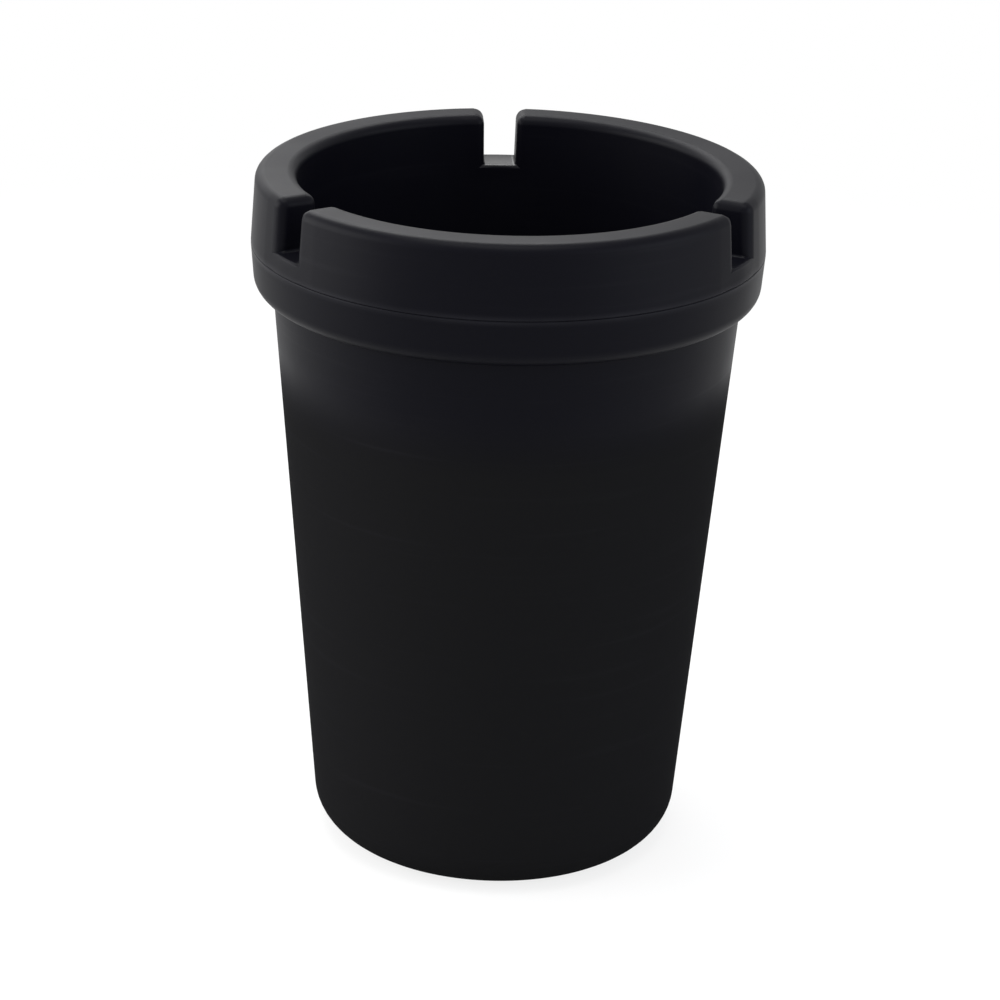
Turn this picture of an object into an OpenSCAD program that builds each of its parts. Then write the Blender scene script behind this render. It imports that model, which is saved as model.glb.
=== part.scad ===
// Ashtray cup for a cup holder: a tapered cup, a lift-off rest ring with three notches,
// and a snuffer funnel that hangs in the ring.
// Millimetres, +Z up, origin at the centre of the base. One notch faces +Y, the back.

/* [Cup] */
// Height of the cup, from the table to the seam under the rest ring
cup_h = 102.4; // [85:0.1:125]
// Outside diameter at the seam, the widest place
seam_d = 82.6; // [81:0.1:88]
// Diameter at which the straight wall would meet the table
base_d = 60; // [52:0.5:66]
// Diameter of the straight wall just under the collar
shoulder_d = 75.5; // [71:0.5:77]
// Height of the collar, from its underside to the seam
collar_h = 7.9; // [6:0.1:10]
// Rounding of the collar's underside
collar_round = 2.8; // [1:0.1:3.2]
// Lean of the collar's side, in degrees
collar_draft = 4.4; // [0:0.2:7]
// Rounding between the wall and the base
base_round = 7.4; // [4:0.1:12]
// Wall of the moulded cup and ring
wall = 2.2; // [1.8:0.1:2.6]
// Thickness of the cup's floor
floor_t = 2.4; // [1.6:0.1:4]
// Width of the ring that the cup stands on
foot_w = 3.2; // [2:0.1:6]
// Depth of the hollow inside the standing ring
foot_recess = 0.8; // [0.4:0.1:1.2]

/* [Rest ring] */
// Height of the ring above the seam
ring_h = 11.6; // [11:0.1:16]
// Lean of the ring's outside, in degrees
ring_draft = 3.6; // [0:0.1:5]
// Width of the ring's top, roundings included
rim_w = 6.6; // [5.8:0.1:8]
// Rounding of the top's outer edge
rim_round_out = 1.6; // [0.4:0.1:2]
// Rounding of the top's inner edge
rim_round_in = 1.6; // [0.4:0.1:2]
// Thickness of the ring's top, over its hollow
rim_t = 2.4; // [1.6:0.1:4]
// Depth of the skirt below the seam, inside the cup
skirt_h = 14.4; // [9:0.1:20]
// Wall of the skirt
skirt_t = 1.9; // [1.4:0.1:2.6]
// Thickness of the ledge that carries the funnel
ledge_t = 1.8; // [1.2:0.1:3]

/* [Notches] */
// Number of rest notches, the first one at the back
notch_count = 3; // [2:1:4]
// Width of a notch at its floor, at the mouth
notch_w = 5.2; // [4.5:0.1:8]
// How far each notch wall turns outwards from the mouth, in degrees
notch_flare = 7; // [0:0.5:12]
// Depth of a notch
notch_depth = 8.6; // [5:0.1:10]
// Lean of each notch wall, in degrees
notch_draft = 1; // [0:0.2:6]
// Chamfer of the top edges of a notch
notch_chamfer = 1.2; // [0.4:0.1:2]

/* [Snuffer funnel] */
// Bore of the throat
throat_d = 17; // [12:0.5:24]
// Length of the throat below the cone
throat_h = 14; // [6:0.5:24]
// Slope of the cone, in degrees
cone_slope = 33; // [20:1:45]
// Wall of the funnel
funnel_t = 1.8; // [1.2:0.1:2.6]
// Width of the flange's seat on the ledge
seat_w = 2.2; // [1.2:0.1:3.5]

/* [Fits] */
// Gap between the skirt and the cup's bore
skirt_gap = 0.3; // [0.2:0.05:0.6]
// Gap round the funnel's flange and below it, in the ledge
flange_gap = 0.3; // [0.2:0.05:0.6]

/* [Hidden] */
$fn = 128;
// How far a cutting shape runs past the face that it cuts
overcut = 1;
// Smallest rounding used where a wall leaves little room
least_round = 0.4;
// Most of the collar's overhang that its rounding may take
round_share = 0.85;
// Flat strip left between the skirt and the hollow beside it, and its most as a share of that room
hollow_land = 0.4;
land_share = 0.25;
// Cones that make up each rounding of the rim
arc_steps = 6;

cup_colour = "#1d1d1f";
ring_colour = "#242427";
funnel_colour = "#2e2e31";

seam_r = seam_d / 2;
base_r = base_d / 2;
shoulder_r = shoulder_d / 2;
throat_r = throat_d / 2;
shoulder_z = cup_h - collar_h;
rim_z = cup_h + ring_h;
taper = atan((shoulder_r - base_r) / shoulder_z);
back = 90;

// Radius of the cup's straight outside and of its bore at a height
function wall_r(z) = base_r + z * tan(taper);
function bore_r(z) = wall_r(z) - wall / cos(taper);
// Radius of the collar's side, of the socket inside it and of the ring's outside at a height
function collar_r(z) = seam_r - (cup_h - z) * tan(collar_draft);
function socket_r(z) = collar_r(z) - wall / cos(collar_draft);
function ring_r(z) = seam_r - (z - cup_h) * tan(ring_draft);

// Rounding of the base, outside and inside, and of the collar
base_cr = min(base_round, base_r - foot_w - overcut);
base_cx = wall_r(base_cr) - base_cr / cos(taper);
floor_z = foot_recess + floor_t;
inner_cr = max(base_cr - wall, least_round);
inner_cx = bore_r(floor_z + inner_cr) - inner_cr / cos(taper);
collar_cr = max(least_round, min(collar_round, collar_h / 2, (seam_r - shoulder_r) * round_share));
collar_cz = shoulder_z + collar_cr;
collar_cx = collar_r(collar_cz) - collar_cr / cos(collar_draft);
shelf_z = shoulder_z + wall;
socket_cr = max(collar_cr - wall, least_round);
socket_cz = shelf_z + socket_cr;
socket_cx = socket_r(socket_cz) - socket_cr / cos(collar_draft);

// The ring's skirt, which clears the cup's bore and the socket, its ledge and its mouth
skirt_z = cup_h - skirt_h;
ledge_z = skirt_z + ledge_t;
skirt_top_r = min(bore_r(cup_h), socket_r(cup_h)) - skirt_gap;
skirt_low_r = min(bore_r(skirt_z), socket_r(skirt_z)) - skirt_gap;
function skirt_out(z) = skirt_low_r + (skirt_top_r - skirt_low_r) * (z - skirt_z) / skirt_h;
function skirt_in(z) = skirt_out(z) - skirt_t;
mouth_r = ring_r(rim_z) - rim_w;
mouth_lean = atan((mouth_r - skirt_in(cup_h)) / ring_h);
function mouth_in(z) = skirt_in(cup_h) + (z - cup_h) * tan(mouth_lean);
rim_out_z = rim_z - rim_round_out;
rim_out_x = ring_r(rim_out_z) - rim_round_out / cos(ring_draft);
rim_in_z = rim_z - rim_round_in;
rim_in_x = mouth_in(rim_in_z) + rim_round_in / cos(mouth_lean);
hollow_z = rim_z - rim_t;
hollow_out = seam_r - wall;
hollow_in = skirt_top_r + min(hollow_land, (hollow_out - skirt_top_r) * land_share);

// Corners of a rounding in a section, from one angle to another
function arc(x, z, r, from, to) = [
    for (i = [0 : arc_steps])
        let (a = from + (to - from) * i / arc_steps)
            [x + r * cos(a), z + r * sin(a)]
];

// The notches, and the solid block that is left round each one
notch_z = rim_z - notch_depth;
function notch_half(z) = notch_w / 2 + (z - notch_z) * tan(notch_draft);
notch_top_z = rim_z - notch_chamfer;
notch_open = notch_half(notch_top_z) + notch_chamfer;
notch_pitch = 360 / notch_count;
block_half = notch_open + (seam_r - mouth_r) * tan(notch_flare) + wall;
block_angle = asin(block_half / hollow_in);

// The funnel, from its flange down
flange_r = min(skirt_in(ledge_z), mouth_r) - flange_gap;
ledge_r = flange_r - seat_w;
neck_r = ledge_r - flange_gap;
flange_z = ledge_z + funnel_t;
throat_out = throat_r + funnel_t;
cone_z = ledge_z - (neck_r - throat_out) * tan(cone_slope);
cone_lift = funnel_t / cos(cone_slope);
function cone_top(r) = cone_z + cone_lift + (r - throat_out) * tan(cone_slope);
bowl_r = throat_out + (flange_z - cone_z - cone_lift) / tan(cone_slope);
throat_z = cone_z - throat_h;

// Half section of the cup as a filled shape
module cup_outside() {
    polygon([
        [0, 0],
        [base_cx, 0],
        [base_cx + base_cr * cos(taper), base_cr - base_cr * sin(taper)],
        [shoulder_r, shoulder_z],
        [collar_cx, shoulder_z],
        [collar_cx + collar_cr * cos(collar_draft), collar_cz - collar_cr * sin(collar_draft)],
        [seam_r, cup_h],
        [0, cup_h],
    ]);
    translate([base_cx, base_cr]) circle(base_cr);
    translate([collar_cx, collar_cz]) circle(collar_cr);
}

// Half section of the room inside the cup
module cup_inside() {
    polygon([
        [0, floor_z],
        [inner_cx, floor_z],
        [inner_cx + inner_cr * cos(taper), floor_z + inner_cr - inner_cr * sin(taper)],
        [bore_r(shelf_z), shelf_z],
        [socket_cx, shelf_z],
        [socket_cx + socket_cr * cos(collar_draft), socket_cz - socket_cr * sin(collar_draft)],
        [socket_r(cup_h + overcut), cup_h + overcut],
        [0, cup_h + overcut],
    ]);
    translate([inner_cx, floor_z + inner_cr]) circle(inner_cr);
    translate([socket_cx, socket_cz]) circle(socket_cr);
}

// Half section of the ring with its skirt and ledge
module ring_section() {
    polygon(concat(
        [[seam_r, cup_h]],
        arc(rim_out_x, rim_out_z, rim_round_out, ring_draft, 90),
        arc(rim_in_x, rim_in_z, rim_round_in, 90, 180 - mouth_lean),
        [
            [skirt_in(cup_h), cup_h],
            [skirt_in(ledge_z), ledge_z],
            [ledge_r, ledge_z],
            [ledge_r, skirt_z],
            [skirt_out(skirt_z), skirt_z],
            [skirt_out(cup_h), cup_h],
        ]
    ));
}

// Half section of the hollow under the ring's top
module hollow_section() {
    polygon([
        [hollow_in, cup_h - overcut],
        [hollow_out, cup_h - overcut],
        [hollow_out, cup_h],
        [ring_r(hollow_z) - wall, hollow_z],
        [mouth_in(hollow_z) + wall, hollow_z],
        [hollow_in, cup_h],
    ]);
}

// The room on the inner side of one notch wall, which turns outwards from the mouth
module notch_side() {
    lean = cos(notch_flare);
    start = ledge_r - overcut - mouth_r;
    reach = (seam_r + overcut - mouth_r) / lean - start;
    far = seam_r - mouth_r + block_half;
    translate([mouth_r, 0, 0])
        rotate([0, 0, -notch_flare])
            translate([start, 0, 0])
                rotate([90, 0, 90])
                    linear_extrude(reach)
                        polygon([
                            [-notch_half(notch_z) * lean, notch_z],
                            [far, notch_z],
                            [far, rim_z + overcut],
                            [-notch_open * lean, rim_z + overcut],
                            [-notch_open * lean, rim_z],
                            [-notch_half(notch_top_z) * lean, notch_top_z],
                        ]);
}

// One notch: the room between its two walls
module notch() {
    intersection() {
        notch_side();
        mirror([0, 1, 0]) notch_side();
    }
}

module cup() {
    color(cup_colour)
        difference() {
            rotate_extrude() cup_outside();
            rotate_extrude() cup_inside();
            translate([0, 0, -overcut])
                cylinder(h = foot_recess + overcut, r = base_cx - foot_w);
        }
}

module rest_ring() {
    color(ring_colour)
        difference() {
            rotate_extrude() ring_section();
            for (i = [0 : notch_count - 1]) {
                turn = back + i * notch_pitch;
                rotate([0, 0, turn + block_angle])
                    rotate_extrude(angle = notch_pitch - 2 * block_angle) hollow_section();
                rotate([0, 0, turn]) notch();
            }
        }
}

module snuffer_funnel() {
    color(funnel_colour)
        rotate_extrude()
            polygon([
                [flange_r, ledge_z],
                [flange_r, flange_z],
                [bowl_r, flange_z],
                [throat_r, cone_top(throat_r)],
                [throat_r, throat_z],
                [throat_out, throat_z],
                [throat_out, cone_z],
                [neck_r, ledge_z],
            ]);
}

cup();
rest_ring();
snuffer_funnel();
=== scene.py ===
"""A cup-holder ashtray: a tapered cup, a notched rest ring and a snuffer funnel, with its studio."""

import math

import bmesh
import bpy
from bpy.props import FloatProperty, FloatVectorProperty, IntProperty, PointerProperty
from mathutils import Matrix, Vector


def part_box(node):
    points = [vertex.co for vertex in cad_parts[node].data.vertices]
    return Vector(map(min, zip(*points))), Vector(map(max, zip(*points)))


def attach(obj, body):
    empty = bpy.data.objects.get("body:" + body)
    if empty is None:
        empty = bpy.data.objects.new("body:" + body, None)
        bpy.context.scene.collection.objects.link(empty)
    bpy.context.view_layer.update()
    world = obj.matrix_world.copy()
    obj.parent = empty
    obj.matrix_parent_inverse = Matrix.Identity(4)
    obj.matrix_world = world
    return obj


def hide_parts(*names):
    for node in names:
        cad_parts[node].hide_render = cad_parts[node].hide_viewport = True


bl_info = {
    "name": "Cup Holder Ashtray",
    "version": (1, 0, 0),
    "blender": (4, 5, 0),
    "location": "View3D > Sidebar > Ashtray",
    "description": "Models a moulded ashtray cup with a lift-off rest ring and a snuffer funnel",
    "category": "Add Mesh",
}

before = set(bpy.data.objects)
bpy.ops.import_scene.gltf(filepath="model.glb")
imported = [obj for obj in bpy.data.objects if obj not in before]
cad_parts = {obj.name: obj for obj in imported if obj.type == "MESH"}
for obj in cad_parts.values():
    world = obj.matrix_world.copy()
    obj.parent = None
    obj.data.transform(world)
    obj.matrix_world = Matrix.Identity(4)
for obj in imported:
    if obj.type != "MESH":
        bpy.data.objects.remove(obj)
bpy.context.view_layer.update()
CUP_LOW, CUP_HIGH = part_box("cup")
RING_LOW, RING_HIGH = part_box("rest_ring")
FUNNEL_LOW, FUNNEL_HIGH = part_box("snuffer_funnel")

MM = 0.001
AXIS = Vector((0, 0, 1))
ORIGIN = Vector((0, 0, 0))
# Two points, or two directions, closer than this are the same one
NEAR = 0.002 * MM
NEAR_TURN = math.radians(0.01)
# Steps of a full turn, fine enough that no outline shows its corners
TURN_STEPS = 180
FULL_TURN = 2 * math.pi
# The first notch faces the back
BACK = math.pi / 2
# A corner that turns more than this and isn't rounded is shaded as a sharp one
SHARP = math.radians(50)
# A face is level if its normal is at least this much upright
LEVEL = 0.9
# Segments of the ring's roundings, and of the other thin edges
RING_SEGMENTS = 7
EDGE_SEGMENTS = 3
# Steps across a notch's floor
FLOOR_STEPS = 4
# Room beside a notch for its rounding, in times the rounding's radius
ROUND_ROOM = 1.5
# Sizes of the plastic's patterns in millimetres: drift of tone and gloss, grain, length of a rub mark
DRIFT_SIZE = 18
GRAIN_SIZE = 0.45
RUB_SIZE = 40
# How much longer than high a rub mark is
RUB_STRETCH = 40.0
# Height and strength of the grain
GRAIN_HEIGHT = 0.02 * MM
GRAIN_STRENGTH = 0.25
# How deep under the surface an edge is looked for
EDGE_DEPTH = 1.4 * MM
# Roughness that the drift of the gloss adds at most, and that wear and rubbing take away
DRIFT_ADDS = 0.16
WEAR_TAKES = 0.3
RUBBING_TAKES = 0.16
# A floor is fully rubbed under the first height and inside the first radius, and not past the second
RUBBED_BELOW = (107 * MM, 109 * MM)
RUBBED_INSIDE = (35.5 * MM, 41.5 * MM)
# Half the floor's width, and how far under the cup it lies
FLOOR_HALF = 6
FLOOR_SINK = 0.05 * MM
# The floor takes shadow up to the first distance from the axis and is plain white from the second on
SHADOW_REACH = (0.1, 0.4)
# Share of plain white in the floor where it takes shadow
FLOOR_GLOW = 0.8
# Width of the camera's sensor in millimetres
SENSOR_WIDTH = 36
# The point that the light panels face
LIT_POINT = Vector((0, 0, 0.07))
# Light panels: name, place, size and colour of the light. The stage's settings hold their power
PANELS = (
    ("left", (-0.5, 0.0, 0.2), (0.5, 0.4), "ffffff"),
    ("right", (0.5, -0.25, 0.2), (0.5, 0.4), "eef4ff"),
    ("back", (-0.2, 0.4, 0.3), (0.4, 0.3), "ffffff"),
    ("top", (-0.05, -0.1, 0.6), (0.4, 0.3), "ffffff"),
    ("rim", (-0.04, 0.17, 0.28), (0.2, 0.1), "ffffff"),
)


def linear(code):
    """Turns an sRGB hex colour into linear values."""
    parts = [int(code[i : i + 2], 16) / 255 for i in (0, 2, 4)]
    return tuple(c / 12.92 if c <= 0.04045 else ((c + 0.055) / 1.055) ** 2.4 for c in parts)


def length(name, description, millimetres):
    """A size in the sidebar, given in millimetres."""
    return FloatProperty(
        name=name, description=description, default=millimetres * MM, min=0, unit="LENGTH", precision=4
    )


def angle(name, description, degrees):
    """An angle in the sidebar, given in degrees."""
    return FloatProperty(name=name, description=description, default=math.radians(degrees), subtype="ANGLE")


def share(name, description, value):
    """A number from 0 to 1 in the sidebar."""
    return FloatProperty(name=name, description=description, default=value, min=0, max=1, subtype="FACTOR")


def power(name, description, watts):
    """A lamp's power in the sidebar."""
    return FloatProperty(name=name, description=description, default=watts, min=0, unit="POWER")


def colour(name, description, code):
    """A colour in the sidebar, given as sRGB hex."""
    return FloatVectorProperty(
        name=name, description=description, default=linear(code), size=3, min=0, max=1, subtype="COLOR"
    )


class CupSettings(bpy.types.PropertyGroup):
    """Sizes of the cup."""

    height: length("Height", "From the table to the seam under the rest ring", CUP_HIGH.z / MM)
    seam_radius: length("Seam radius", "Outside of the collar at the seam", CUP_HIGH.x / MM)
    base_radius: length("Base radius", "Where the straight wall would meet the table", 30)
    shoulder_radius: length("Shoulder radius", "Straight wall just under the collar", 37.75)
    collar_height: length("Collar height", "From the collar's underside to the seam", 7.9)
    collar_draft: angle("Collar draft", "Lean of the collar's side", 4.4)
    collar_round: length("Collar rounding", "Rounding of the collar's underside", 2.8)
    base_round: length("Base rounding", "Rounding between the wall and the base", 7.4)
    crease_round: length("Crease rounding", "Fillet between the wall and the collar", 0.25)
    wall: length("Wall", "Thickness of the moulded wall", 2.2)
    floor: length("Floor", "Thickness of the floor", 2.4)
    foot_radius: length("Foot radius", "Inside of the ring that the cup stands on", 19.98)
    foot_recess: length("Foot recess", "Depth of the hollow inside the standing ring", 0.8)
    gate_radius: length("Gate mark", "Radius of the moulding mark under the base", 1.6)
    gate_height: length("Gate mark height", "How far the moulding mark stands out", 0.35)
    edge_round: length("Edge rounding", "Rounding of the thin edges", 0.2)


class RingSettings(bpy.types.PropertyGroup):
    """Sizes of the rest ring and its notches."""

    top: length("Top", "Height of the rim above the table", RING_HIGH.z / MM)
    skirt_low: length("Skirt foot", "Height of the skirt's lower edge", RING_LOW.z / MM)
    draft: angle("Draft", "Lean of the ring's outside", 3.6)
    rim_width: length("Rim width", "Width of the ring's top, roundings included", 6.6)
    round_out: length("Outer rounding", "Rounding of the rim's outer edge", 1.6)
    round_in: length("Inner rounding", "Rounding of the rim's inner edge", 1.6)
    skirt_gap: length("Skirt gap", "Gap between the skirt and the cup's bore", 0.3)
    skirt_wall: length("Skirt wall", "Thickness of the skirt", 1.9)
    ledge_radius: length("Ledge radius", "Bore of the ledge that carries the funnel", 30.457)
    ledge_height: length("Ledge thickness", "Thickness of that ledge", 1.8)
    crown: length("Top thickness", "Thickness of the ring's top over its hollow", 2.4)
    land: length("Land", "Flat strip between the skirt and the hollow", 0.4)
    notches: IntProperty(name="Notches", description="Number of rest notches", default=3, min=2, max=4)
    notch_width: length("Notch width", "Width of a notch at its floor", 5.3)
    notch_depth: length("Notch depth", "Depth of a notch", 8.6)
    notch_draft: angle("Notch draft", "Lean of each notch wall", 1)
    notch_round: length("Notch top rounding", "Rounding of a notch's top edges", 1.6)
    side_round: length("Notch side rounding", "Rounding of a notch's upright edges outside", 2.0)
    mouth_round: length("Notch mouth rounding", "Rounding of a notch's upright edges inside", 1.0)
    root_round: length("Notch root rounding", "Rounding between a notch's floor and its walls", 0.5)
    lip_out: length("Outer lip rounding", "Rounding of a notch floor's outer end", 0.4)
    lip_in: length("Inner lip rounding", "Rounding of a notch floor's inner end", 0.5)
    block: length("Block", "Half width of the solid block that a notch is cut in", 7.0)
    edge_round: length("Edge rounding", "Rounding of the thin edges", 0.2)


class FunnelSettings(bpy.types.PropertyGroup):
    """Sizes of the snuffer funnel."""

    flange_radius: length("Flange radius", "Outside of the flange", FUNNEL_HIGH.x / MM)
    flange_top: length("Flange top", "Height of the flange above the table", FUNNEL_HIGH.z / MM)
    throat_low: length("Throat foot", "Height of the throat's lower end", FUNNEL_LOW.z / MM)
    throat_radius: length("Throat radius", "Bore of the throat", 8.5)
    throat_length: length("Throat length", "From the cone down", 14)
    neck_radius: length("Neck radius", "Outside of the cone where it leaves the flange", 30.157)
    wall: length("Wall", "Thickness of the funnel", 1.8)
    throat_round: length("Throat rounding", "Rounding between the cone and the throat", 2.2)
    bowl_round: length("Bowl rounding", "Rounding between the flange and the cone", 2.5)
    edge_round: length("Edge rounding", "Rounding of the thin edges", 0.4)


class FinishSettings(bpy.types.PropertyGroup):
    """Colours and gloss of the plastic."""

    satin_colour: colour("Satin black", "Black of the rest ring and the collar", "06060c")
    matt_colour: colour("Matt black", "Black of the wall that goes into a holder", "121213")
    funnel_colour: colour("Funnel", "Black of the snuffer funnel", "111113")
    worn_colour: colour("Worn edge", "Tone of rubbed edges and fine scuffs", "2b2b2f")
    satin: share("Satin roughness", "Roughness of the rest ring and the collar", 0.36)
    matt: share("Matt roughness", "Roughness of the wall that goes into a holder", 0.92)
    matt_below: length("Matt below", "Height under which the cup's wall is matt", 74)
    satin_above: length("Satin above", "Height over which the cup's wall is satin", 86)
    reflection: share("Reflection", "Mirror-like share of the plastic's skin", 0.058)
    matt_reflection: share("Matt reflection", "The same where the cup's wall is matt", 0.01)
    polish: share("Polish", "The same where a floor is rubbed smooth", 0.3)


class StageSettings(bpy.types.PropertyGroup):
    """Camera and light."""

    distance: length("Camera distance", "From the axis to the camera, along the floor", 515.85)
    height: length("Camera height", "Height of the camera above the floor", 259.76)
    aim: length("Aim height", "Height of the point in the picture's middle", 57.69)
    aside: length("Aim aside", "How far left of the axis that point is", 0.25)
    turn: angle("Camera turn", "Turn of the camera round the cup, to the left of the front", 3.1)
    roll: angle("Camera roll", "Turn of the camera about its own line of sight", 1.53)
    focal: FloatProperty(name="Lens", description="Focal length in millimetres", default=120.5, min=1)
    floor: colour("Floor", "Colour of the floor", "f4f4f4")
    left_power: power("Left light", "Power of the left panel", 3.2)
    right_power: power("Right light", "Power of the right panel", 1.6)
    back_power: power("Back light", "Power of the panel behind the cup", 0.5)
    top_power: power("Top light", "Power of the panel over the cup", 1.6)
    rim_power: power("Rim light", "Power of the small panel close behind the rim", 0.4)
    ambient: share("Ambient", "Strength of the even light from all round", 0.9)


def outline(bm, corners, closed, turn=0.0):
    """Stands an outline of (radius, height) corners on a plane through the axis."""
    out = Vector((math.cos(turn), math.sin(turn), 0))
    verts = [bm.verts.new(out * radius + AXIS * height) for radius, height in corners]
    pairs = list(zip(verts, verts[1:]))
    if closed:
        pairs.append((verts[-1], verts[0]))
    return verts + [bm.edges.new(pair) for pair in pairs]


def circle_edges(bm, corner):
    """The edges of the circle that a corner of an outline leaves when it is turned."""
    radius, height = corner

    def on_circle(vert):
        return abs(vert.co.z - height) < NEAR and abs(vert.co.xy.length - radius) < NEAR

    return [edge for edge in bm.edges if all(on_circle(vert) for vert in edge.verts)]


def turned(corners, rounds):
    """Turns an outline once round the axis and rounds its circles.

    Rounds gives a radius and a number of segments for each corner that is rounded.
    """
    bm = bmesh.new()
    closed = corners[0][0] > 0
    bmesh.ops.spin(
        bm,
        geom=outline(bm, corners, closed),
        cent=ORIGIN,
        axis=AXIS,
        angle=FULL_TURN,
        steps=TURN_STEPS,
        use_merge=True,
    )
    bmesh.ops.remove_doubles(bm, verts=bm.verts, dist=NEAR)
    for i, corner in enumerate(corners):
        if corner not in rounds:
            continue
        radius, segments = rounds[corner]
        before = Vector(corner) - Vector(corners[i - 1])
        after = Vector(corners[(i + 1) % len(corners)]) - Vector(corner)
        bmesh.ops.bevel(
            bm,
            geom=circle_edges(bm, corner),
            offset=radius * math.tan(before.angle(after) / 2),
            offset_type="OFFSET",
            segments=segments,
            profile=0.5,
            affect="EDGES",
            material=-1,
        )
    return bm


def stand_in(context, bm, name, node, body, material):
    """Makes a finished mesh the piece that stands for a node of the frame."""
    bmesh.ops.recalc_face_normals(bm, faces=bm.faces)
    rounded = bm.edges.layers.float.get("bevel_weight_edge")
    for face in bm.faces:
        face.smooth = True
    for edge in bm.edges:
        soft = edge.calc_face_angle(0) < SHARP
        edge.smooth = soft or bool(rounded and edge[rounded])
    mesh = bpy.data.meshes.new(name)
    bm.to_mesh(mesh)
    bm.free()
    mesh.materials.append(material)
    piece = bpy.data.objects.new(name, mesh)
    context.scene.collection.objects.link(piece)
    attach(piece, body)
    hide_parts(node)
    return piece


def even_shading(piece):
    """Lets the large faces lead the shading, so that flats stay flat beside their roundings."""
    even = piece.modifiers.new("Even shading", "WEIGHTED_NORMAL")
    even.mode = "FACE_AREA"
    even.keep_sharp = True


def bore_radius(cup, height):
    """Radius of the cup's bore at a height, one wall inside its tapered outside."""
    slope = (cup.shoulder_radius - cup.base_radius) / (cup.height - cup.collar_height)
    return cup.base_radius + height * slope - cup.wall * math.hypot(1, slope)


def cup_mesh(cup):
    """The cup: standing ring, tapered wall, collar, socket for the rest ring, bore and floor."""
    collar_slope = math.tan(cup.collar_draft)
    collar_wall = cup.wall * math.hypot(1, collar_slope)
    shoulder = cup.height - cup.collar_height
    shelf = shoulder + cup.wall
    floor = cup.foot_recess + cup.floor
    gate = cup.foot_recess - cup.gate_height
    shelf_radius = cup.seam_radius - collar_wall - (cup.height - shelf) * collar_slope
    gate_edge = (cup.gate_radius, gate)
    foot_edge = (cup.foot_radius, 0)
    base = (cup.base_radius, 0)
    crease = (cup.shoulder_radius, shoulder)
    collar = (cup.seam_radius - cup.collar_height * collar_slope, shoulder)
    seam = (cup.seam_radius, cup.height)
    socket = (cup.seam_radius - collar_wall, cup.height)
    shelf_corner = (shelf_radius, shelf)
    shelf_edge = (bore_radius(cup, shelf), shelf)
    floor_corner = (bore_radius(cup, floor), floor)
    corners = [
        (0, gate),
        gate_edge,
        (cup.gate_radius, cup.foot_recess),
        (cup.foot_radius, cup.foot_recess),
        foot_edge,
        base,
        crease,
        collar,
        seam,
        socket,
        shelf_corner,
        shelf_edge,
        floor_corner,
        (0, floor),
    ]
    rounds = {
        gate_edge: (cup.edge_round / 2, 2),
        foot_edge: (cup.edge_round, EDGE_SEGMENTS),
        base: (cup.base_round, 14),
        crease: (cup.crease_round, EDGE_SEGMENTS),
        collar: (cup.collar_round, 8),
        seam: (cup.edge_round, EDGE_SEGMENTS),
        socket: (cup.edge_round, EDGE_SEGMENTS),
        shelf_corner: (cup.edge_round, EDGE_SEGMENTS),
        shelf_edge: (cup.edge_round, EDGE_SEGMENTS),
        floor_corner: (cup.base_round - cup.wall, 10),
    }
    return turned(corners, rounds)


def funnel_mesh(funnel):
    """The snuffer funnel: a flange, a cone and a throat."""
    throat_out = funnel.throat_radius + funnel.wall
    seat = funnel.flange_top - funnel.wall
    cone = funnel.throat_low + funnel.throat_length
    slope = (seat - cone) / (funnel.neck_radius - throat_out)
    lift = funnel.wall * math.hypot(1, slope)
    bowl = (throat_out + (funnel.flange_top - cone - lift) / slope, funnel.flange_top)
    throat_top = (funnel.throat_radius, cone + lift - funnel.wall * slope)
    flange_low = (funnel.flange_radius, seat)
    flange_high = (funnel.flange_radius, funnel.flange_top)
    throat_in = (funnel.throat_radius, funnel.throat_low)
    throat_end = (throat_out, funnel.throat_low)
    cone_foot = (throat_out, cone)
    corners = [
        flange_low,
        flange_high,
        bowl,
        throat_top,
        throat_in,
        throat_end,
        cone_foot,
        (funnel.neck_radius, seat),
    ]
    rounds = {
        flange_low: (funnel.edge_round, EDGE_SEGMENTS),
        flange_high: (funnel.edge_round, EDGE_SEGMENTS),
        bowl: (funnel.bowl_round, 4),
        throat_top: (funnel.throat_round, 6),
        throat_in: (funnel.edge_round, EDGE_SEGMENTS),
        throat_end: (funnel.edge_round, EDGE_SEGMENTS),
        cone_foot: (funnel.throat_round + funnel.wall, 6),
    }
    return turned(corners, rounds)


def notch_angle(ring, radius, height):
    """The angle from a notch's middle to its straight wall, at a radius and a height."""
    floor = ring.top - ring.notch_depth
    half = ring.notch_width / 2 + (height - floor) * math.tan(ring.notch_draft)
    return math.asin(half / radius)


def from_notch(ring, vert):
    """The nearest notch's direction, and the angle from there to a point, both about the axis."""
    pitch = FULL_TURN / ring.notches
    turn = math.atan2(vert.y, vert.x) - BACK
    nearest = round(turn / pitch) * pitch
    return BACK + nearest, turn - nearest


def sweep(bm, corners, start, turns):
    """Sweeps a closed outline about the axis through a row of (angle, steps)."""
    geom = outline(bm, corners, True, start)
    for turn, steps in turns:
        swept = bmesh.ops.spin(bm, geom=geom, cent=ORIGIN, axis=AXIS, angle=turn, steps=steps)
        geom = swept["geom_last"]


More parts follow.
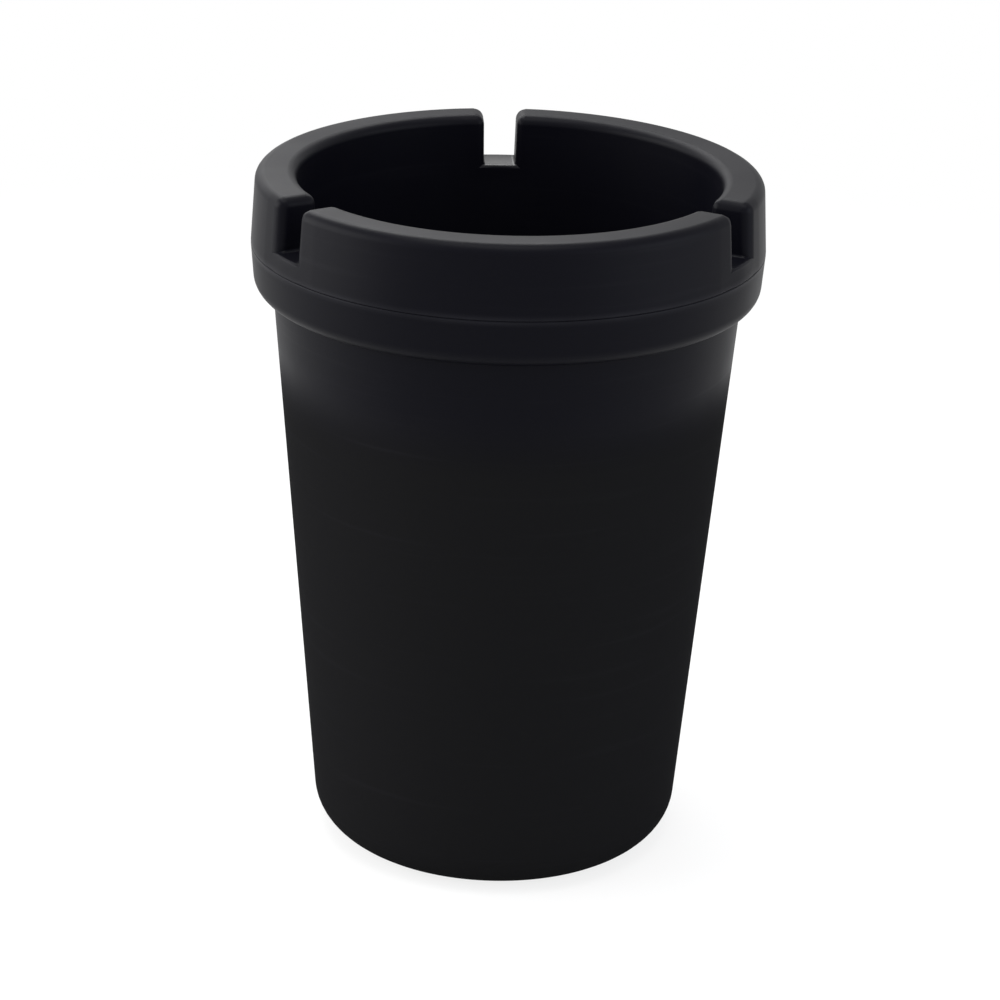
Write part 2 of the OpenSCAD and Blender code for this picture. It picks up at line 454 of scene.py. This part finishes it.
def ring_section(cup, ring):
    """The corners of the ring's section by name, round from the seam's outer edge."""
    seam = cup.height
    floor = ring.top - ring.notch_depth
    ledge = ring.skirt_low + ring.ledge_height
    slope = math.tan(ring.draft)
    root = bore_radius(cup, seam) - ring.skirt_gap
    skirt_low = bore_radius(cup, ring.skirt_low) - ring.skirt_gap
    ledge_wall = bore_radius(cup, ledge) - ring.skirt_gap - ring.skirt_wall
    rim_out = cup.seam_radius - (ring.top - seam) * slope
    rim_in = rim_out - ring.rim_width
    mouth = root - ring.skirt_wall
    depth = (floor - seam) / (ring.top - seam)
    return {
        "seam": (cup.seam_radius, seam),
        "notch_out": (cup.seam_radius - (floor - seam) * slope, floor),
        "rim_out": (rim_out, ring.top),
        "rim_in": (rim_in, ring.top),
        "notch_in": (mouth + (rim_in - mouth) * depth, floor),
        "mouth": (mouth, seam),
        "ledge_wall": (ledge_wall, ledge),
        "ledge_edge": (ring.ledge_radius, ledge),
        "ledge_low": (ring.ledge_radius, ring.skirt_low),
        "skirt_foot": (skirt_low, ring.skirt_low),
        "skirt_root": (root, seam),
        "hollow_in": (root + ring.land, seam),
        "hollow_out": (cup.seam_radius - cup.wall, seam),
    }


def sweep_ring(bm, ring, section):
    """Sweeps the full section between the notches and the low one across them."""
    pitch = FULL_TURN / ring.notches
    corners = list(section.values())
    low = [corner for name, corner in section.items() if not name.startswith("rim")]
    gap = notch_angle(ring, *section["notch_out"])
    rounded = notch_angle(ring, *section["rim_in"]) + ROUND_ROOM * ring.side_round / section["rim_in"][0]
    block = math.asin(ring.block / section["hollow_in"][0])
    steps = round((pitch - 2 * block) / FULL_TURN * TURN_STEPS)
    ends = [(rounded - gap, 1), (block - rounded, 1)]
    for i in range(ring.notches):
        middle = BACK + i * pitch
        sweep(bm, low, middle - gap, [(2 * gap, FLOOR_STEPS)])
        sweep(bm, corners, middle + gap, ends + [(pitch - 2 * block, steps)] + ends[::-1])
    bmesh.ops.remove_doubles(bm, verts=bm.verts, dist=NEAR)
    return gap, block


def close_notches(bm, ring, section, gap):
    """Turns the notches' ends into straight walls, fills them and returns their faces."""
    floor = section["notch_out"][1]
    for vert in bm.verts:
        middle, off = from_notch(ring, vert.co)
        if vert.co.z > floor - NEAR and abs(abs(off) - gap) < NEAR_TURN:
            exact = notch_angle(ring, vert.co.xy.length, vert.co.z)
            turn = math.copysign(exact, off) - off
            bmesh.ops.rotate(bm, verts=[vert], cent=ORIGIN, matrix=Matrix.Rotation(turn, 3, AXIS))
    open_edges = [edge for edge in bm.edges if edge.is_boundary]
    return bmesh.ops.holes_fill(bm, edges=open_edges, sides=4)["faces"]


def hollow_ring(bm, cup, ring, section, block):
    """Pushes the hollow up into the ring from below, between the blocks round the notches."""
    seam = cup.height
    top = ring.top - ring.crown
    inner, outer = section["hollow_in"][0], section["hollow_out"][0]
    middle = (inner + outer) / 2

    def over_hollow(face):
        centre = face.calc_center_median()
        flat = all(abs(vert.co.z - seam) < NEAR for vert in face.verts)
        return flat and inner < centre.xy.length < outer and abs(from_notch(ring, centre)[1]) > block

    mouth = [face for face in bm.faces if over_hollow(face)]
    pushed = bmesh.ops.extrude_face_region(bm, geom=mouth)["geom"]
    bmesh.ops.delete(bm, geom=mouth, context="FACES")
    share_up = (top - seam) / (ring.top - seam)
    inside = section["mouth"][0] + (section["rim_in"][0] - section["mouth"][0]) * share_up + cup.wall
    outside = section["seam"][0] - (top - seam) * math.tan(ring.draft) - cup.wall
    for vert in (part for part in pushed if isinstance(part, bmesh.types.BMVert)):
        radius = vert.co.xy.length
        scale = (inside if radius < middle else outside) / radius
        vert.co = Vector((vert.co.x * scale, vert.co.y * scale, top))


def mark_rounds(bm, ring, section, walls):
    """Writes how far each edge is rounded as its bevel weight, and returns the widest rounding."""
    weight = bm.edges.layers.float.new("bevel_weight_edge")
    widest = max(ring.notch_round, ring.side_round, ring.mouth_round, ring.round_out, ring.round_in)
    middle = (section["rim_in"][0] + section["rim_out"][0]) / 2
    floor = section["notch_out"][1]
    for name, radius in (
        ("rim_out", ring.round_out),
        ("rim_in", ring.round_in),
        ("seam", ring.edge_round),
        ("ledge_edge", ring.edge_round),
        ("ledge_low", ring.edge_round),
        ("skirt_foot", ring.edge_round),
    ):
        for edge in circle_edges(bm, section[name]):
            edge[weight] = radius / widest
    for wall in walls:
        for edge in wall.edges:
            low = sum(abs(vert.co.z - floor) < NEAR for vert in edge.verts)
            outside = edge.verts[0].co.xy.length > middle
            upright = ring.side_round if outside else ring.mouth_round
            edge[weight] = (ring.notch_round, upright, ring.root_round)[low] / widest
    for name, radius in (("notch_out", ring.lip_out), ("notch_in", ring.lip_in)):
        for edge in circle_edges(bm, section[name]):
            if any(abs(face.normal.z) > LEVEL for face in edge.link_faces):
                edge[weight] = radius / widest
    return widest


def ring_mesh(cup, ring):
    """The rest ring with its notches, skirt, ledge and hollow, and its widest rounding."""
    bm = bmesh.new()
    section = ring_section(cup, ring)
    gap, block = sweep_ring(bm, ring, section)
    walls = close_notches(bm, ring, section, gap)
    hollow_ring(bm, cup, ring, section, block)
    bm.normal_update()
    widest = mark_rounds(bm, ring, section, walls)
    spare = [
        edge
        for name in ("notch_out", "notch_in")
        for edge in circle_edges(bm, section[name])
        if all(abs(face.normal.z) < LEVEL for face in edge.link_faces)
    ]
    bmesh.ops.dissolve_edges(bm, edges=spare, use_verts=True)
    return bm, widest


def add_node(tree, kind, inputs=None, **settings):
    """Adds a node. An input is a value, or a (node, output) pair that is linked to it."""
    made = tree.nodes.new(kind)
    for name, value in settings.items():
        setattr(made, name, value)
    for name, value in (inputs or {}).items():
        if isinstance(value, tuple) and isinstance(value[0], bpy.types.Node):
            tree.links.new(value[0].outputs[value[1]], made.inputs[name])
        else:
            made.inputs[name].default_value = value
    return made


def per_metre(millimetres):
    """The scale of a pattern whose features are this far apart."""
    return 1 / (millimetres * MM)


def moulded_plastic(name, finish, low_black, high_black, low_rough, high_rough):
    """Black plastic from a spark-eroded mould: a deep, even black with a soft, broad sheen.

    The sheen drifts a little from place to place, fine rub marks run round the piece,
    and the edges that hands touch are rubbed smoother and a shade lighter.
    """
    material = bpy.data.materials.new(name)
    material.use_nodes = True
    tree = material.node_tree
    shader = tree.nodes["Principled BSDF"]
    shader.inputs["IOR"].default_value = 1.5
    place = add_node(tree, "ShaderNodeTexCoord")
    spot = (place, "Object")

    # Slow drift of tone and gloss, about 18 mm from one patch to the next
    drift = add_node(
        tree, "ShaderNodeTexNoise", {"Vector": spot, "Scale": per_metre(DRIFT_SIZE), "Detail": 3.0}
    )
    # The mould's own grain is about 0.1 mm; it is drawn at 0.45 mm so that it shows
    grain = add_node(
        tree, "ShaderNodeTexNoise", {"Vector": spot, "Scale": per_metre(GRAIN_SIZE), "Detail": 2.0}
    )
    # Rub marks, about 40 mm long round the piece and 1 mm high
    drawn_out = add_node(tree, "ShaderNodeMapping", {"Vector": spot, "Scale": (1.0, 1.0, RUB_STRETCH)})
    rubs = add_node(
        tree,
        "ShaderNodeTexNoise",
        {"Vector": (drawn_out, "Vector"), "Scale": per_metre(RUB_SIZE), "Detail": 4.0},
    )
    rubbed = add_node(
        tree,
        "ShaderNodeMapRange",
        {"Value": (rubs, "Fac"), "From Min": 0.6, "From Max": 0.75, "To Max": 0.06},
    )
    # Edges are where little plastic lies behind the surface, within 1.4 mm
    depth = add_node(
        tree,
        "ShaderNodeAmbientOcclusion",
        {"Distance": EDGE_DEPTH},
        samples=8,
        inside=True,
        only_local=True,
    )
    edge = add_node(
        tree,
        "ShaderNodeMapRange",
        {"Value": (depth, "AO"), "From Min": 0.85, "From Max": 0.5, "To Max": 0.5},
    )
    worn = add_node(
        tree,
        "ShaderNodeMath",
        {0: (edge, "Result"), 1: (drift, "Fac"), 2: (rubbed, "Result")},
        operation="MULTIPLY_ADD",
    )

    # The lower wall may have another black and another gloss than what is above it
    height = add_node(tree, "ShaderNodeSeparateXYZ", {0: spot})
    above = add_node(
        tree,
        "ShaderNodeMapRange",
        {"Value": (height, "Z"), "From Min": finish.matt_below, "From Max": finish.satin_above},
        interpolation_type="SMOOTHSTEP",
    )
    black = add_node(
        tree,
        "ShaderNodeMix",
        {0: (above, "Result"), 6: (*low_black, 1.0), 7: (*high_black, 1.0)},
        data_type="RGBA",
    )
    tone = add_node(
        tree,
        "ShaderNodeMix",
        {0: (worn, "Value"), 6: (black, 2), 7: (*finish.worn_colour, 1.0)},
        data_type="RGBA",
    )
    tree.links.new(tone.outputs[2], shader.inputs["Base Color"])

    gloss = add_node(
        tree,
        "ShaderNodeMapRange",
        {"Value": (above, "Result"), "To Min": low_rough, "To Max": high_rough},
    )
    uneven = add_node(
        tree,
        "ShaderNodeMath",
        {0: (drift, "Fac"), 1: DRIFT_ADDS, 2: (gloss, "Result")},
        operation="MULTIPLY_ADD",
    )
    rough = add_node(
        tree,
        "ShaderNodeMath",
        {0: (worn, "Value"), 1: -WEAR_TAKES, 2: (uneven, "Value")},
        operation="MULTIPLY_ADD",
    )
    # Floors that something rests on, such as a notch's, are rubbed smooth, most at their inner ends
    facing = add_node(tree, "ShaderNodeSeparateXYZ", {0: (place, "Normal")})
    flat = add_node(tree, "ShaderNodeVectorMath", {0: spot, 1: (1, 1, 0)}, operation="MULTIPLY")
    radius = add_node(tree, "ShaderNodeVectorMath", {0: (flat, "Vector")}, operation="LENGTH")
    inner = add_node(
        tree,
        "ShaderNodeMapRange",
        {"Value": (radius, "Value"), "From Min": RUBBED_INSIDE[1], "From Max": RUBBED_INSIDE[0]},
    )
    below = add_node(
        tree,
        "ShaderNodeMapRange",
        {
            "Value": (height, "Z"),
            "From Min": RUBBED_BELOW[1],
            "From Max": RUBBED_BELOW[0],
            "To Max": (inner, "Result"),
        },
    )
    polished = add_node(
        tree,
        "ShaderNodeMapRange",
        {"Value": (facing, "Z"), "From Min": 0.7, "From Max": 0.9, "To Max": (below, "Result")},
    )
    gloss_left = add_node(
        tree,
        "ShaderNodeMath",
        {0: (polished, "Result"), 1: -RUBBING_TAKES, 2: (rough, "Value")},
        operation="MULTIPLY_ADD",
    )
    tree.links.new(gloss_left.outputs["Value"], shader.inputs["Roughness"])
    skin = add_node(
        tree,
        "ShaderNodeMapRange",
        {"Value": (above, "Result"), "To Min": finish.matt_reflection, "To Max": finish.reflection},
    )
    mirror = add_node(
        tree,
        "ShaderNodeMapRange",
        {"Value": (polished, "Result"), "To Min": (skin, "Result"), "To Max": finish.polish},
    )
    tree.links.new(mirror.outputs["Result"], shader.inputs["Specular IOR Level"])

    bump = add_node(
        tree,
        "ShaderNodeBump",
        {"Strength": GRAIN_STRENGTH, "Distance": GRAIN_HEIGHT, "Height": (grain, "Fac")},
    )
    tree.links.new(bump.outputs["Normal"], shader.inputs["Normal"])
    return material


class ASHTRAY_OT_cup(bpy.types.Operator):
    """Model the tapered cup with its collar, base and socket"""

    bl_idname = "ashtray.cup"
    bl_label = "Cup"

    def execute(self, context):
        scene = context.scene
        finish = scene.ashtray_finish
        black = moulded_plastic(
            "abs_matt_and_satin_moulded",
            finish,
            finish.matt_colour,
            finish.satin_colour,
            finish.matt,
            finish.satin,
        )
        piece = stand_in(context, cup_mesh(scene.ashtray_cup), "cup_shell", "cup", "cup_body", black)
        even_shading(piece)
        return {"FINISHED"}


class ASHTRAY_OT_rest_ring(bpy.types.Operator):
    """Model the rest ring with its notches, skirt and ledge"""

    bl_idname = "ashtray.rest_ring"
    bl_label = "Rest Ring"

    def execute(self, context):
        scene = context.scene
        finish = scene.ashtray_finish
        black = moulded_plastic(
            "abs_satin_moulded",
            finish,
            finish.satin_colour,
            finish.satin_colour,
            finish.satin,
            finish.satin,
        )
        bm, widest = ring_mesh(scene.ashtray_cup, scene.ashtray_ring)
        piece = stand_in(context, bm, "rest_ring_shell", "rest_ring", "ring_body", black)
        rounding = piece.modifiers.new("Rounded edges", "BEVEL")
        rounding.limit_method = "WEIGHT"
        rounding.offset_type = "OFFSET"
        rounding.width = widest
        rounding.segments = RING_SEGMENTS
        rounding.profile = 0.5
        rounding.use_clamp_overlap = False
        even_shading(piece)
        return {"FINISHED"}


class ASHTRAY_OT_snuffer_funnel(bpy.types.Operator):
    """Model the snuffer funnel that hangs in the ring"""

    bl_idname = "ashtray.snuffer_funnel"
    bl_label = "Snuffer Funnel"

    def execute(self, context):
        scene = context.scene
        finish = scene.ashtray_finish
        black = moulded_plastic(
            "phenolic_matt_moulded",
            finish,
            finish.funnel_colour,
            finish.funnel_colour,
            finish.matt,
            finish.matt,
        )
        bm = funnel_mesh(scene.ashtray_funnel)
        piece = stand_in(context, bm, "snuffer_funnel_shell", "snuffer_funnel", "funnel_body", black)
        even_shading(piece)
        return {"FINISHED"}


def seen_directly(tree):
    """A factor that is 1 for what the camera, a reflection or glass shows."""
    path = add_node(tree, "ShaderNodeLightPath")
    glossy = add_node(
        tree,
        "ShaderNodeMath",
        {0: (path, "Is Camera Ray"), 1: (path, "Is Glossy Ray")},
        operation="MAXIMUM",
    )
    return add_node(
        tree,
        "ShaderNodeMath",
        {0: (glossy, "Value"), 1: (path, "Is Transmission Ray")},
        operation="MAXIMUM",
    )


def white_world(scene, ambient):
    """White all round where it is seen, and an even light elsewhere."""
    world = bpy.data.worlds.new("white_studio")
    world.use_nodes = True
    tree = world.node_tree
    light = tree.nodes["Background"]
    light.inputs["Color"].default_value = (1, 1, 1, 1)
    light.inputs["Strength"].default_value = ambient
    white = add_node(tree, "ShaderNodeBackground", {"Color": (1, 1, 1, 1), "Strength": 1.0})
    mixed = add_node(
        tree,
        "ShaderNodeMixShader",
        {0: (seen_directly(tree), "Value"), 1: (light, "Background"), 2: (white, "Background")},
    )
    tree.links.new(mixed.outputs[0], tree.nodes["World Output"].inputs["Surface"])
    scene.world = world


def white_floor(context, tint):
    """A plain floor that takes the cup's shadow and fades into white away from it."""
    material = bpy.data.materials.new("matt_white_paper")
    material.use_nodes = True
    tree = material.node_tree
    tree.nodes.remove(tree.nodes["Principled BSDF"])
    paper = add_node(tree, "ShaderNodeBsdfDiffuse", {"Color": (*tint, 1.0)})
    white = add_node(tree, "ShaderNodeEmission", {"Color": (1, 1, 1, 1), "Strength": 1.0})
    place = add_node(tree, "ShaderNodeTexCoord")
    away = add_node(tree, "ShaderNodeVectorMath", {0: (place, "Object")}, operation="LENGTH")
    plain = add_node(
        tree,
        "ShaderNodeMapRange",
        {
            "Value": (away, "Value"),
            "From Min": SHADOW_REACH[0],
            "From Max": SHADOW_REACH[1],
            "To Min": FLOOR_GLOW,
        },
    )
    shown = add_node(
        tree,
        "ShaderNodeMath",
        {0: (seen_directly(tree), "Value"), 1: (plain, "Result")},
        operation="MULTIPLY",
    )
    mixed = add_node(
        tree,
        "ShaderNodeMixShader",
        {0: (shown, "Value"), 1: (paper, "BSDF"), 2: (white, "Emission")},
    )
    tree.links.new(mixed.outputs[0], tree.nodes["Material Output"].inputs["Surface"])
    bm = bmesh.new()
    bmesh.ops.create_grid(bm, x_segments=1, y_segments=1, size=FLOOR_HALF)
    bmesh.ops.translate(bm, verts=bm.verts, vec=-FLOOR_SINK * AXIS)
    mesh = bpy.data.meshes.new("floor")
    bm.to_mesh(mesh)
    bm.free()
    mesh.materials.append(material)
    floor = bpy.data.objects.new("floor", mesh)
    context.scene.collection.objects.link(floor)


def add_panel(context, name, place, size, watts, tint):
    """A soft light panel that faces the lit point."""
    lamp = bpy.data.lights.new(name, "AREA")
    lamp.shape = "RECTANGLE"
    lamp.size, lamp.size_y = size
    lamp.energy = watts
    lamp.color = tint
    panel = bpy.data.objects.new(name, lamp)
    panel.location = place
    panel.rotation_euler = (LIT_POINT - Vector(place)).to_track_quat("-Z", "Y").to_euler()
    panel.visible_camera = False
    context.scene.collection.objects.link(panel)


class ASHTRAY_OT_stage(bpy.types.Operator):
    """Set up the floor, the light and the camera"""

    bl_idname = "ashtray.stage"
    bl_label = "Stage"

    def execute(self, context):
        scene = context.scene
        stage = scene.ashtray_stage
        scene.view_settings.view_transform = "Standard"
        white_world(scene, stage.ambient)
        white_floor(context, stage.floor)
        for name, place, size, tint in PANELS:
            watts = getattr(stage, name + "_power")
            add_panel(context, name + "_panel", place, size, watts, linear(tint))

        lens = bpy.data.cameras.new("photo_camera")
        lens.lens = stage.focal
        lens.sensor_width = SENSOR_WIDTH
        camera = bpy.data.objects.new("photo_camera", lens)
        camera.location = (
            -stage.distance * math.sin(stage.turn),
            -stage.distance * math.cos(stage.turn),
            stage.height,
        )
        aim = Vector((-stage.aside, 0, stage.aim)) - camera.location
        upright = aim.to_track_quat("-Z", "Y").to_matrix()
        camera.rotation_euler = (upright @ Matrix.Rotation(stage.roll, 3, "Z")).to_euler()
        scene.collection.objects.link(camera)
        scene.camera = camera
        return {"FINISHED"}


class ASHTRAY_PT_parts(bpy.types.Panel):
    """Lists the pieces and their sizes"""

    bl_idname = "ASHTRAY_PT_parts"
    bl_label = "Cup Holder Ashtray"
    bl_space_type = "VIEW_3D"
    bl_region_type = "UI"
    bl_category = "Ashtray"

    def draw(self, context):
        for name, operator in PARTS:
            box = self.layout.box()
            box.operator(operator.bl_idname)
            settings = getattr(context.scene, name)
            for prop in settings.__annotations__:
                box.prop(settings, prop)
        box = self.layout.box()
        for prop in FinishSettings.__annotations__:
            box.prop(context.scene.ashtray_finish, prop)


PARTS = (
    ("ashtray_stage", ASHTRAY_OT_stage),
    ("ashtray_cup", ASHTRAY_OT_cup),
    ("ashtray_ring", ASHTRAY_OT_rest_ring),
    ("ashtray_funnel", ASHTRAY_OT_snuffer_funnel),
)
SETTINGS = {
    "ashtray_cup": CupSettings,
    "ashtray_ring": RingSettings,
    "ashtray_funnel": FunnelSettings,
    "ashtray_finish": FinishSettings,
    "ashtray_stage": StageSettings,
}
CLASSES = (*SETTINGS.values(), *(operator for _, operator in PARTS), ASHTRAY_PT_parts)


def register():
    for cls in CLASSES:
        bpy.utils.register_class(cls)
    for name, cls in SETTINGS.items():
        setattr(bpy.types.Scene, name, PointerProperty(type=cls))


def unregister():
    for name in SETTINGS:
        delattr(bpy.types.Scene, name)
    for cls in reversed(CLASSES):
        bpy.utils.unregister_class(cls)


def main():
    register()
    bpy.ops.ashtray.stage()
    bpy.ops.ashtray.cup()
    bpy.ops.ashtray.rest_ring()
    bpy.ops.ashtray.snuffer_funnel()


if __name__ == "__main__":
    main()
